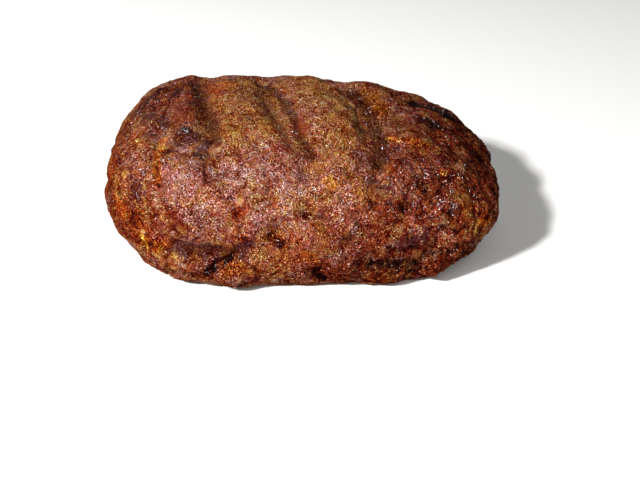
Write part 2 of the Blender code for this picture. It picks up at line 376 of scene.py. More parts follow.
        Spot(((-11, -63, 55), (-9, -63, 53)), 3.5, 1.3),
        Spot(((20, -58, 64), (23, -56, 66)), 4.2, 1.4),
        Spot(((17, -42, 74), (20, -43, 74)), 3.5, 0.7),
        Spot(((36, -59, 62), (38, -56, 64)), 4.0, 1.4),
        Spot(((48, -26, 74), (54, -22, 73)), 4.0, 0.9),
        Spot(((-14, -64, 46), (-12, -64, 43)), 3.0),
        Spot(((49, 8, 76), (54, 1, 75)), 4.0, 0.7),
        Spot(((-50, -64, 61), (-46, -64, 59)), 4.0),
        Spot(((-39, -67, 56), (-35, -67, 54)), 4.0),
        Spot(((-24, -66, 18), (-20, -66, 18)), 3.5),
        Spot(((-80, -58, 37), (-78, -60, 33)), 2.8, 0.9),
        Spot(((25, -12, 80), (26, -7, 80)), 4.0, 0.9),
        Spot(((82, -19, 63), (79, -40, 63), (80, -51, 54)), 3.0, 0.7),
        Spot(((65, -28, 69), (67, -42, 65)), 2.8, 0.7),
        Spot(((50, -62, 44), (59, -62, 42)), 4.5, 1.2),
        Spot(((71, -59, 44), (74, -57, 35)), 4.5, 1.1),
        Spot(((79, -54, 28), (85, -53, 34), (89, -52, 41)), 5.5, 1.2),
        Spot(((-92, -47, 50), (-88, -52, 44)), 4.0, 0.9),
        Spot(((49, -63, 35), (52, -63, 36)), 3.5, 0.9),
        Spot(((-60, -66, 48), (-58, -66, 48)), 3.5, 0.9),
        Spot(((26, -11, 79), (28, -14, 77)), 3.0, 0.7),
        Spot(((-74, -13, 76), (-71, -13, 76)), 3.5, 0.9),
        Spot(((33, -61, 59), (36, -61, 59)), 3.0, 0.8),
        Spot(((-5, -6, 81), (-2, -13, 83)), 3.5, 0.8),
        Spot(((49, 15, 76), (50, 16, 75)), 3.5, 0.9),
        Spot(((-69, -28, 73), (-70, -46, 70)), 1.6, 0.9),
        Spot(((-61, -37, 73), (-58, -39, 73)), 3.5, 1.2),
        Spot(((36, -59, 61), (36, -61, 59)), 3.0, 0.9),
        Spot(((-84, -58, 37), (-84, -58, 37)), 3.2, 0.9),
        Spot(((26, -11, 79), (26, -15, 79)), 3.0, 0.9),
    ),
}


def broken_line(
    tree: Tree, place: Socket, away: Socket, half_width: float, run: float, shown: Span
) -> Socket:
    """Draws a soft line that comes and goes along its length.

    Args:
        tree: the node tree.
        place: the positions.
        away: how far each place is from the middle of the line.
        half_width: how far the line reaches, in the measure of away.
        run: about how long the line shows before it stops, in metres.
        shown: the noise values at which it starts to show, and shows in full.

    Returns:
        1 in the middle of the line, 0 off it and where it stops.
    """
    inputs = {"Value": away, "From Max": half_width, "To Min": 1.0, "To Max": 0.0}
    line = add_node(tree, MAP_RANGE, inputs, interpolation_type="SMOOTHSTEP")
    here = add_node(tree, NOISE, {"Vector": place, "Scale": 1 / run, "Detail": 1.0})
    here = add_node(tree, MAP_RANGE, {"Value": here, "From Min": shown[0], "From Max": shown[1]})
    return add_node(tree, MATH, {0: line, 1: here}, operation="MULTIPLY")


@dataclass(frozen=True)
class Mince:
    """Minced meat pressed by hand: clods of strands, and smaller bits within them."""

    clod: float = 0.0054
    bit: float = 0.0021
    hang: Point = (1.0, 1.0, 0.62)
    ragged_size: float = 0.8
    ragged_by: float = 0.55
    gap_half_width: float = 0.0005
    gap_run: float = 0.008
    gap_here: Span = (0.42, 0.58)

    def wandered(self, tree: Tree, place: Socket, size: float, by: float) -> Socket:
        """Shifts positions by a turbulent field, so that a pattern's lines run ragged.

        Args:
            tree: the node tree.
            place: the positions.
            size: the size of the field's swirls.
            by: how far it shifts a point.

        Returns:
            The shifted positions.
        """
        swirl = add_node(tree, NOISE, {"Vector": place, "Scale": 1 / size, "Detail": 3.0}, "Color")
        swirl = add_node(tree, VECTOR_MATH, {0: swirl, 1: MIDDLE}, operation="SUBTRACT")
        swirl = add_node(tree, VECTOR_MATH, {0: swirl, "Scale": 2 * by}, operation="SCALE")
        return add_node(tree, VECTOR_MATH, {0: place, 1: swirl})

    def cells(self, tree: Tree, place: Socket, size: float, **settings: object) -> Sockets:
        """Packs ragged clods or bits side by side, longer downwards, as the strands hang.

        Args:
            tree: the node tree.
            place: the positions.
            size: the distance from one to the next.
            settings: properties of the cell texture.

        Returns:
            The texture's outputs, Distance from a clod's middle and a Color for each clod.
        """
        hung = add_node(tree, VECTOR_MATH, {0: place, 1: self.hang}, operation="MULTIPLY")
        ragged = self.wandered(tree, hung, self.ragged_size * size, self.ragged_by * size)
        inputs = {"Vector": ragged, "Scale": 1 / size}
        return add_node(tree, "ShaderNodeTexVoronoi", inputs, **settings).node.outputs

    def gap(self, tree: Tree, place: Socket) -> Socket:
        """Narrow gaps that open round some of the clods.

        Args:
            tree: the node tree.
            place: the positions.

        Returns:
            1 in the middle of a gap, 0 off it.
        """
        edge = self.cells(tree, place, self.clod, feature="DISTANCE_TO_EDGE")["Distance"]
        return broken_line(tree, place, edge, self.gap_half_width / self.clod, self.gap_run, self.gap_here)


MINCE = Mince()


@dataclass(frozen=True)
class CrustRelief:
    """Sizes and heights, in metres, of the unevenness of roast mince, from the widest down."""

    bulge_height: float = 0.0011
    swell: float = 0.0150
    swell_height: float = 0.0016
    plate: float = 0.0190
    crack_swirl: float = 0.0090
    crack_wander: float = 0.0060
    crack_half_width: float = 0.0013
    crack_depth: float = 0.0007
    crack_run: float = 0.0240
    crack_here: Span = (0.44, 0.58)
    gap_depth: float = 0.0008
    crease: float = 0.0090
    crease_share: float = 0.035
    crease_depth: float = 0.0006
    crease_run: float = 0.0150
    crease_here: Span = (0.38, 0.55)
    clod_reach: float = 0.85
    clod_height: float = 0.0013
    crumble: float = 0.0034
    crumble_height: float = 0.0009
    pit_spacing: float = 0.0130
    pit_half_width: float = 0.0012
    pit_depth: float = 0.0016

    def tree(self) -> Tree:
        """Builds the modifier's nodes: they store each layer as an attribute, then raise the crust.

        Returns:
            The geometry node tree.
        """
        tree = bpy.data.node_groups.new("crust_relief", "GeometryNodeTree")
        tree.interface.new_socket("Geometry", in_out="INPUT", socket_type="NodeSocketGeometry")
        tree.interface.new_socket("Geometry", in_out="OUTPUT", socket_type="NodeSocketGeometry")
        mesh = add_node(tree, "NodeGroupInput")
        place = add_node(tree, "GeometryNodeInputPosition")
        kept = {
            "crack": self.cracks(tree, place),
            "crease": self.creases(tree, place),
            "pit": self.pits(tree, place),
            "clod": self.lumps(tree, place),
        }
        rise = self.rise(tree, place, kept)
        kept["rise_mm"] = add_node(tree, MATH, {0: rise, 1: 1 / MM}, operation="MULTIPLY")
        for name, value in kept.items():
            inputs = {"Geometry": mesh, "Name": name, "Value": value}
            mesh = add_node(tree, "GeometryNodeStoreNamedAttribute", inputs)
        rise = add_node(tree, "GeometryNodeInputNamedAttribute", {"Name": "rise_mm"}, "Attribute")
        rise = add_node(tree, MATH, {0: rise, 1: MM}, operation="MULTIPLY")
        normal = add_node(tree, "GeometryNodeInputNormal")
        offset = add_node(tree, VECTOR_MATH, {0: normal, "Scale": rise}, operation="SCALE")
        moved = add_node(tree, VECTOR_MATH, {0: place, 1: offset})
        lowest = (-1.0, -1.0, 0.0)
        moved = add_node(tree, VECTOR_MATH, {0: moved, 1: lowest}, operation="MAXIMUM")
        mesh = add_node(tree, "GeometryNodeSetPosition", {"Geometry": mesh, "Position": moved})
        add_node(tree, "NodeGroupOutput", {0: mesh})
        return tree

    def rise(self, tree: Tree, place: Socket, lines: Marks) -> Socket:
        """Sums the layers of the relief, some of them weaker where the crust is fine.

        Args:
            tree: the node tree.
            place: the positions.
            lines: the cracks, creases, pits and clods.

        Returns:
            How far each point rises or sinks, in metres.
        """
        marks = {
            name: add_node(tree, "GeometryNodeInputNamedAttribute", {"Name": name}, "Attribute")
            for name in ("coarse", "bulge", "quiet")
        }
        swell = add_node(tree, NOISE, {"Vector": place, "Scale": 1 / self.swell, "Detail": 1.0})
        crumble = add_node(tree, NOISE, {"Vector": place, "Scale": 1 / self.crumble, "Detail": 2.0})
        rise = 0.0
        for layer, height, middle, by_coarse in (
            (marks["bulge"], self.bulge_height, 0.0, False),
            (swell, self.swell_height, 0.5, False),
            (lines["clod"], self.clod_height, 0.5, True),
            (crumble, self.crumble_height, 0.5, True),
            (lines["crease"], -self.crease_depth, 0.0, True),
            (lines["crack"], -self.crack_depth, 0.0, False),
            (MINCE.gap(tree, place), -self.gap_depth, 0.0, True),
            (lines["pit"], -self.pit_depth, 0.0, False),
        ):
            layer = add_node(tree, MATH, {0: layer, 1: middle}, operation="SUBTRACT")
            layer = add_node(tree, MATH, {0: layer, 1: height}, operation="MULTIPLY")
            if by_coarse:
                layer = add_node(tree, MATH, {0: layer, 1: marks["coarse"]}, operation="MULTIPLY")
            rise = add_node(tree, MATH, {0: rise, 1: layer})
        return add_node(tree, MATH, {0: rise, 1: marks["quiet"]}, operation="MULTIPLY")

    def cracks(self, tree: Tree, place: Socket) -> Socket:
        """Ragged cracks between plates of crust, which come and go along their length.

        Args:
            tree: the node tree.
            place: the positions.

        Returns:
            1 in the middle of a crack, 0 off it.
        """
        ragged = MINCE.wandered(tree, place, self.crack_swirl, self.crack_wander)
        inputs = {"Vector": ragged, "Scale": 1 / self.plate}
        edge = add_node(tree, "ShaderNodeTexVoronoi", inputs, "Distance", feature="DISTANCE_TO_EDGE")
        half_width = self.crack_half_width / self.plate
        return broken_line(tree, place, edge, half_width, self.crack_run, self.crack_here)

    def creases(self, tree: Tree, place: Socket) -> Socket:
        """Short winding creases where the pressed mince folded.

        Args:
            tree: the node tree.
            place: the positions.

        Returns:
            1 in the middle of a crease, 0 off it.
        """
        folds = add_node(tree, NOISE, {"Vector": place, "Scale": 1 / self.crease, "Detail": 2.0})
        folds = add_node(tree, MATH, {0: folds, 1: 0.5}, operation="SUBTRACT")
        folds = add_node(tree, MATH, {0: folds}, operation="ABSOLUTE")
        return broken_line(tree, place, folds, self.crease_share, self.crease_run, self.crease_here)

    def lumps(self, tree: Tree, place: Socket) -> Socket:
        """Rounded clods, packed close as pressed mince is.

        Args:
            tree: the node tree.
            place: the positions.

        Returns:
            1 at the middle of a clod, falling to 0 between clods.
        """
        away = MINCE.cells(tree, place, MINCE.clod, feature="SMOOTH_F1")["Distance"]
        inputs = {"Value": away, "From Max": self.clod_reach, "To Min": 1.0, "To Max": 0.0}
        return add_node(tree, MAP_RANGE, inputs)

    def pits(self, tree: Tree, place: Socket) -> Socket:
        """Small pits where juice bubbled out, one here and there.

        Args:
            tree: the node tree.
            place: the positions.

        Returns:
            1 at the bottom of a pit, 0 off it.
        """
        inputs = {"Vector": place, "Scale": 1 / self.pit_spacing}
        away = add_node(tree, "ShaderNodeTexVoronoi", inputs, "Distance")
        half_width = self.pit_half_width / self.pit_spacing
        inputs = {"Value": away, "From Max": half_width, "To Min": 1.0, "To Max": 0.0}
        return add_node(tree, MAP_RANGE, inputs, interpolation_type="SMOOTHSTEP")


@dataclass(frozen=True)
class BrownedCrust:
    """Coarse minced meat, packed by hand and browned in an oven, with its own fat melted out.

    Each crumb browned to its own degree, so the colour climbs from soot through red-brown to dry
    tan tips, in blotches of every size, and a patch of panel, fat or char tints what is there. The
    furrows, the gaps, the pits and the holes get painted shade. The melted fat lies over it in a
    broken film of beads.
    """

    # Coarse mince is strands of 4 to 5 mm that crumble into bits of 1 to 2 mm. The smallest crumbs
    # are about 0.3 mm and the smallest beads of fat about 0.5 mm, too fine to show in the picture,
    # so they are drawn coarser than real, at 0.6 and 1.7 mm.
    crumb: float = 0.0011
    fine: float = 0.0006
    fine_swirl: float = 0.0020
    fine_wander: float = 0.0009
    uneven: float = 0.0012
    bump_depth: float = 0.0015
    bead: float = 0.0017
    bead_depth: float = 0.0019
    strand: float = 0.0034
    wide: float = 0.0100
    lively_size: float = 0.0070

    # How much each size of blotch shifts the tone, the pinkness and the redness.
    wide_shares: Point = (0.10, 1.4, 1.2)
    clod_shares: Point = (0.12, 0.75, 0.6)
    bit_shares: Point = (0.10, 0.40, 0.45)
    fine_shares: Point = (1.85, 0.15, 0.20)

    slick_degree: float = 0.52
    tone_step: float = 0.15
    soot: str = "#2a0500"
    dark: str = "#4a0c02"
    red_brown: str = "#671f09"
    chestnut: str = "#7e3d1d"
    brown: str = "#8c5230"
    tan: str = "#a46e4a"
    dry: str = "#c08c65"
    tip: str = "#dcb690"
    # A mauve-pink, partly the meat's own colour and partly a painted sheen.
    blush_and_sheen: str = "#8c5342"
    olive: str = "#8a5024"
    russet: str = "#8a3c20"
    straw: str = "#8d5c36"
    panel: str = "#834b21"
    amber: str = "#a0591b"
    tallow: str = "#c49770"
    # The painted shade in the furrows and folds.
    furrow_shade: str = "#562c12"
    # Dull scorched brown, also the painted shade along the seam at the foot.
    scorch_and_shade: str = "#552818"
    # Black of the burnt ridge, also used as painted shade in holes and under the belly.
    char_and_shade: str = "#2c0e07"

    def material(self) -> bpy.types.Material:
        """Builds the crust's shader from the loaf's attributes and from patterns on its form.

        Returns:
            The material.
        """
        # To the eye: a rough, speckled skin, wine-red and darkened with painted shade in the gaps, tan on
        # the crumbs that stand up, dull where it dried, with small sharp glints where the fat beads.
        material = bpy.data.materials.new("oven_browned_minced_meat")
        material.use_nodes = True
        tree = material.node_tree
        tree.nodes.clear()
        marks = {
            name: add_node(tree, "ShaderNodeAttribute", None, "Fac", attribute_name=name)
            for name in (*LOAF_MARKS, *RELIEF_MARKS, *(patch.value for patch in Patch))
        }
        place = add_node(tree, "ShaderNodeAttribute", None, "Vector", attribute_name="as_shaped")
        marks["as_shaped"] = place
        crumb = add_node(tree, "ShaderNodeTexVoronoi", {"Vector": place, "Scale": 1 / self.crumb})
        ragged = MINCE.wandered(tree, place, self.fine_swirl, self.fine_wander)
        grain = add_node(tree, NOISE, {"Vector": ragged, "Scale": 1 / self.fine, "Detail": 0.0}, "Color")
        beads = add_node(tree, NOISE, {"Vector": place, "Scale": 1 / self.bead, "Detail": 1.0})
        inputs = {"Height": beads, "Strength": 1.0, "Distance": self.bead_depth}
        beaded = add_node(tree, "ShaderNodeBump", inputs, "Normal")
        blotches = self.blotches(tree, marks, grain)
        shader = {
            "Base Color": self.colour(tree, marks, blotches, crumb),
            "Roughness": self.roughness(tree, marks, blotches),
            "IOR": 1.42,
            "Specular IOR Level": 0.02,
            "Normal": self.normal(tree, place, crumb, grain),
            "Coat Weight": self.grease(tree, marks, blotches),
            "Coat Roughness": 0.12,
            "Coat IOR": 1.5,
            "Coat Normal": beaded,
        }
        surface = add_node(tree, "ShaderNodeBsdfPrincipled", shader)
        add_node(tree, "ShaderNodeOutputMaterial", {"Surface": surface})
        return material

    def blotches(self, tree: Tree, marks: Marks, grain: Socket) -> Sockets:
        """Sums uneven browning from the width of a thumb down to a crumb, clod by clod.

        Args:
            tree: the node tree.
            marks: the loaf's attributes by name.
            grain: the noise of the finest crumbs.

        Returns:
            Three sockets of values round 0.5: the tone, the pinkness and the redness.
        """
        place = marks["as_shaped"]
        inputs = {"Vector": place, "Scale": 1 / self.wide, "Detail": 2.0, "Roughness": 1.0}
        wide = add_node(tree, NOISE, {**inputs, "Distortion": 1.2}, "Color")
        clods = MINCE.cells(tree, place, MINCE.clod)["Color"]
        bits = MINCE.cells(tree, place, MINCE.bit)["Color"]
        total = MIDDLE
        for layer, shares, amount in (
            (wide, self.wide_shares, 1.0),
            (clods, self.clod_shares, marks["coarse"]),
            (bits, self.bit_shares, 1.0),
            (self.speckle(tree, grain), self.fine_shares, self.lively(tree, marks, clods)),
        ):
            layer = add_node(tree, VECTOR_MATH, {0: layer, 1: MIDDLE}, operation="SUBTRACT")
            layer = add_node(tree, VECTOR_MATH, {0: layer, "Scale": amount}, operation="SCALE")
            total = add_node(tree, VECTOR_MATH, {0: layer, 1: shares, 2: total}, operation="MULTIPLY_ADD")
        return add_node(tree, "ShaderNodeSeparateXYZ", {0: total}).node.outputs

    def lively(self, tree: Tree, marks: Marks, clods: Socket) -> Socket:
        """How strongly the finest crumbs differ: more in some places and clods than in others.

        Args:
            tree: the node tree.
            marks: the loaf's attributes by name.
            clods: a colour for each clod.

        Returns:
            The strength, round 1.
        """
        inputs = {"Vector": marks["as_shaped"], "Scale": 1 / self.lively_size, "Detail": 1.0}
        lively = add_node(tree, NOISE, inputs)
        own = add_node(tree, "ShaderNodeSeparateColor", {0: clods}, 2)
        lively = add_node(tree, MATH, {0: own, 1: 0.22, 2: lively}, operation="MULTIPLY_ADD")
        inputs = {"Value": lively, "From Min": 0.45, "From Max": 0.80, "To Min": 0.60, "To Max": 1.6}
        lively = add_node(tree, MAP_RANGE, inputs)
        calm = add_node(tree, MATH, {0: marks["ruddy"], 1: -0.15, 2: 1.0}, operation="MULTIPLY_ADD")
        return add_node(tree, MATH, {0: lively, 1: calm}, operation="MULTIPLY")

    def speckle(self, tree: Tree, grain: Socket) -> Socket:
        """Spreads a smooth noise to its ends, so that a few crumbs are far paler or darker.

        Args:
            tree: the node tree.
            grain: the noise of the finest crumbs.

        Returns:
            The noise, still round 0.5.
        """
        away = add_node(tree, VECTOR_MATH, {0: grain, 1: MIDDLE}, operation="SUBTRACT")
        square = add_node(tree, VECTOR_MATH, {0: away, 1: away}, operation="MULTIPLY")
        inputs = {0: square, 1: (9.0,) * 3, 2: (0.6,) * 3}
        gain = add_node(tree, VECTOR_MATH, inputs, operation="MULTIPLY_ADD")
        return add_node(tree, VECTOR_MATH, {0: gain, 1: away, 2: MIDDLE}, operation="MULTIPLY_ADD")

    def patch(self, tree: Tree, weight: Socket, rim: Socket, amount: float) -> Socket:
        """A patch's share of the colour, with its rim broken up by a noise.

        Args:
            tree: the node tree.
            weight: how much of the patch its spots lay.
            rim: the noise that breaks up the rim.
            amount: how much the noise shifts the rim.

        Returns:
            The share, from 0 to 1.
        """
        shift = add_node(tree, MATH, {0: rim, 1: amount, 2: -amount / 2}, operation="MULTIPLY_ADD")
        weight = add_node(tree, MATH, {0: weight, 1: shift})
        inputs = {"Value": weight, "From Min": 0.15, "From Max": 0.85}
        return add_node(tree, MAP_RANGE, inputs, interpolation_type="SMOOTHSTEP")

    def colour(self, tree: Tree, marks: Marks, blotches: Sockets, crumb: Socket) -> Socket:
        """Browns each crumb to its own degree, with painted shade between crumbs and in the gaps between
        clods, then tints the patches.

        Args:
            tree: the node tree.
            marks: the loaf's attributes by name.
            blotches: the tone, the pinkness and the redness of each place.
            crumb: 0 at the middle of a crumb, rising towards the gaps between crumbs.

        Returns:
            The base colour.
        """
        # Gaps between clods, darkened with painted shade where the crust is coarse.
        gap = MINCE.gap(tree, marks["as_shaped"])
        gap = add_node(tree, MATH, {0: gap, 1: marks["coarse"]}, operation="MULTIPLY")
        degree = self.degree(tree, marks, ((crumb, -0.30), (blotches[0], 1.0), (gap, -0.32)))
        base = linear(self.soot)
        tones = (self.dark, self.red_brown, self.chestnut, self.brown, self.tan, self.dry, self.tip)
        for step, code in enumerate(tones):
            low = step * self.tone_step
            inputs = {"Value": degree, "From Min": low, "From Max": low + self.tone_step}
            share = add_node(tree, MAP_RANGE, inputs)
            inputs = {"Factor": share, 6: base, 7: linear(code)}
            base = add_node(tree, "ShaderNodeMix", inputs, 2, data_type="RGBA")
        plain = linear(self.brown)
        for share, code in self.tints(tree, marks, blotches, gap):
            tint = [channel / most for channel, most in zip(linear(code), plain)]
            inputs = {"Factor": share, 6: base, 7: tint}
            base = add_node(tree, "ShaderNodeMix", inputs, 2, data_type="RGBA", blend_type="MULTIPLY")
        return base

    def degree(self, tree: Tree, marks: Marks, patterns: tuple[tuple[Socket, float], ...]) -> Socket:
        """How pale each crumb is: darker in every hollow, crack, crease, gap and pit as painted shade,
        paler on what stands up, partly dry tips and partly painted light.

        Args:
            tree: the node tree.
            marks: the loaf's attributes by name.
            patterns: the crumbs, the tone and the gaps between clods, each with its share.

        Returns:
            The degree, from 0 for soot to about 1 for a dry tip.
        """
        # What stands up is paler and what lies low darker, partly as painted light and shade.
        inputs = {"From Min": -1.2, "From Max": 1.2, "To Min": -0.18, "To Max": 0.15}
        rise = add_node(tree, MAP_RANGE, {"Value": marks["rise_mm"], **inputs})
        degree = 0.20
        for layer, share in (
            *patterns,
            (rise, 1.0),
            (marks["browned"], -1.0),
            # Painted shade in cracks, creases and pits, and paler clod middles.
            (marks["crack"], -0.12),
            (marks["crease"], -0.30),
            (marks["pit"], -0.30),
            (marks["clod"], 0.12),
            # Pits and holes darker, partly painted shade.
            (marks[Patch.SHADED_PIT.value], -0.60),
            (marks[Patch.RUST.value], -0.10),
        ):
            degree = add_node(tree, MATH, {0: layer, 1: share, 2: degree}, operation="MULTIPLY_ADD")
        inputs = {"Factor": marks[Patch.SKIN.value], 2: degree, 3: self.slick_degree}
        return add_node(tree, "ShaderNodeMix", inputs)

    def tints(self, tree: Tree, marks: Marks, blotches: Sockets, gap: Socket) -> list[tuple[Socket, str]]:
        """Lists what tints the browned crumbs: two wandering hues, then the patches.

        Args:
            tree: the node tree.
            marks: the loaf's attributes by name.
            blotches: the tone, the pinkness and the redness of each place.
            gap: 1 in the middle of a gap between clods.

        Returns:
            The share and the colour of each tint.
        """
        pink, red = self.hues(tree, marks, blotches, gap)
        tints = []
        for hue, full, code in (
            # Wandering pinkness of the meat; the same tint serves the painted sheen of the pink patches.
            (pink, 0.74, self.blush_and_sheen),
            (pink, 0.26, self.olive),
            (red, 0.80, self.russet),
            (red, 0.20, self.straw),
        ):
            inputs = {"Value": hue, "From Min": 0.50, "From Max": full}
            tints.append((add_node(tree, MAP_RANGE, inputs), code))
        inputs = {"Vector": marks["as_shaped"], "Scale": 1 / self.strand, "Detail": 2.0, "Distortion": 1.5}
        strands = add_node(tree, NOISE, inputs)
        for patch, rim, amount, strength, code in (
            (Patch.PANEL, blotches[1], 0.7, 0.9, self.panel),
            # The furrows and folds get painted shade.
            (Patch.SHADED_FURROW, blotches[1], 0.7, 0.9, self.furrow_shade),
            (Patch.FAT, strands, 1.8, 1.0, self.amber),
            (Patch.TALLOW, strands, 0.6, 1.0, self.tallow),
            # Scorched brown, and painted shade along the seam.
            (Patch.SCORCH_AND_SHADE, blotches[1], 1.1, 1.0, self.scorch_and_shade),
            # Burnt black, and painted shade where the crust opens into holes or overhangs.
            (Patch.CHAR_AND_SHADE, blotches[2], 1.1, 1.0, self.char_and_shade),
        ):
            inputs = {0: self.patch(tree, marks[patch.value], rim, amount), 1: strength}
            tints.append((add_node(tree, MATH, inputs, operation="MULTIPLY"), code))
        return tints

    def hues(self, tree: Tree, marks: Marks, blotches: Sockets, gap: Socket) -> list[Socket]:
        """Lets the hue wander from olive to pink, and from straw to red, most at the ruddy ends.

        Args:
            tree: the node tree.
            marks: the loaf's attributes by name.
            blotches: the tone, the pinkness and the redness of each place.
            gap: 1 in the middle of a gap between clods.

        Returns:
            The pinkness and the redness, both round 0.5.
        """
        lines = add_node(tree, MATH, {0: gap, 1: marks["crease"]}, operation="MAXIMUM")
        redder = add_node(tree, MATH, {0: lines, 1: 0.25, 2: blotches[2]}, operation="MULTIPLY_ADD")
        hues = []
        for field, change in ((blotches[1], -0.6), (redder, 1.8)):
            spread = add_node(tree, MATH, {0: marks["ruddy"], 1: change, 2: 1.0}, operation="MULTIPLY_ADD")
            away = add_node(tree, MATH, {0: field, 1: 0.5}, operation="SUBTRACT")
            inputs = {0: away, 1: spread, 2: 0.5}
            hues.append(add_node(tree, MATH, inputs, operation="MULTIPLY_ADD"))
        # The pink patches, partly painted sheen, shift the hue.
        for patch, field, shift in ((Patch.BLUSH_AND_SHEEN, 0, 0.30), (Patch.OLIVE, 0, -0.30), (Patch.RUST, 1, 0.35)):
            inputs = {0: marks[patch.value], 1: shift, 2: hues[field]}
            hues[field] = add_node(tree, MATH, inputs, operation="MULTIPLY_ADD")
        return hues

    def roughness(self, tree: Tree, marks: Marks, blotches: Sockets) -> Socket:
        """Smoother where fat soaked in, matt on the dry panels.

        Args:
            tree: the node tree.
            marks: the loaf's attributes by name.
            blotches: the tone, the pinkness and the redness of each place.

        Returns:
            The roughness.
        """
        inputs = {"Value": blotches[2], "From Min": 0.30, "From Max": 0.70, "To Min": 0.65, "To Max": 0.40}
        rough = add_node(tree, MAP_RANGE, inputs)
        dry = self.patch(tree, marks[Patch.PANEL.value], blotches[0], 0.3)
        return add_node(tree, MATH, {0: dry, 1: 0.25, 2: rough}, operation="MULTIPLY_ADD")

    def grease(self, tree: Tree, marks: Marks, blotches: Sockets) -> Socket:
        """Beads and smears of fat: most on the burnt ridge, few on the dry panels and low down.

        Args:
            tree: the node tree.
            marks: the loaf's attributes by name.
            blotches: the tone, the pinkness and the redness of each place.

        Returns:
            The film's weight.
        """
        film = add_node(tree, MAP_RANGE, {"Value": blotches[2], "From Min": 0.55, "From Max": 0.72})
        # The char patch, which also holds the painted shade in the holes, gets the full film of fat.
        burnt = marks[Patch.CHAR_AND_SHADE.value]
        film = add_node(tree, MATH, {0: film, 1: burnt}, operation="MAXIMUM")
        dry = self.patch(tree, marks[Patch.PANEL.value], blotches[0], 0.3)
        wet = add_node(tree, MATH, {0: dry, 1: -0.8, 2: 1.0}, operation="MULTIPLY_ADD")
        wet = add_node(tree, MATH, {0: wet, 1: marks["basted"]}, operation="MULTIPLY")
        return add_node(tree, MATH, {0: film, 1: wet}, operation="MULTIPLY")

    def normal(self, tree: Tree, place: Socket, crumb: Socket, grain: Socket) -> Socket:
        """Crumbs finer than the mesh can hold: the pale ones stand up, the dark ones lie deep.

        Args:
            tree: the node tree.
            place: positions on the loaf before its crust broke up.
            crumb: 0 at the middle of a crumb, rising towards the gaps between crumbs.
            grain: the noise of the finest crumbs.

        Returns:
            The bumped normal.
        """
        inputs = {"Vector": place, "Scale": 1 / self.uneven, "Detail": 1.0, "Roughness": 0.8}
        uneven = add_node(tree, NOISE, inputs)
        height = add_node(tree, MATH, {0: crumb, 1: -0.35, 2: uneven}, operation="MULTIPLY_ADD")
        fine = add_node(tree, "ShaderNodeSeparateColor", {0: grain})
        height = add_node(tree, MATH, {0: fine, 1: height})
        inputs = {"Height": height, "Strength": 1.0, "Distance": self.bump_depth}
        return add_node(tree, "ShaderNodeBump", inputs, "Normal")


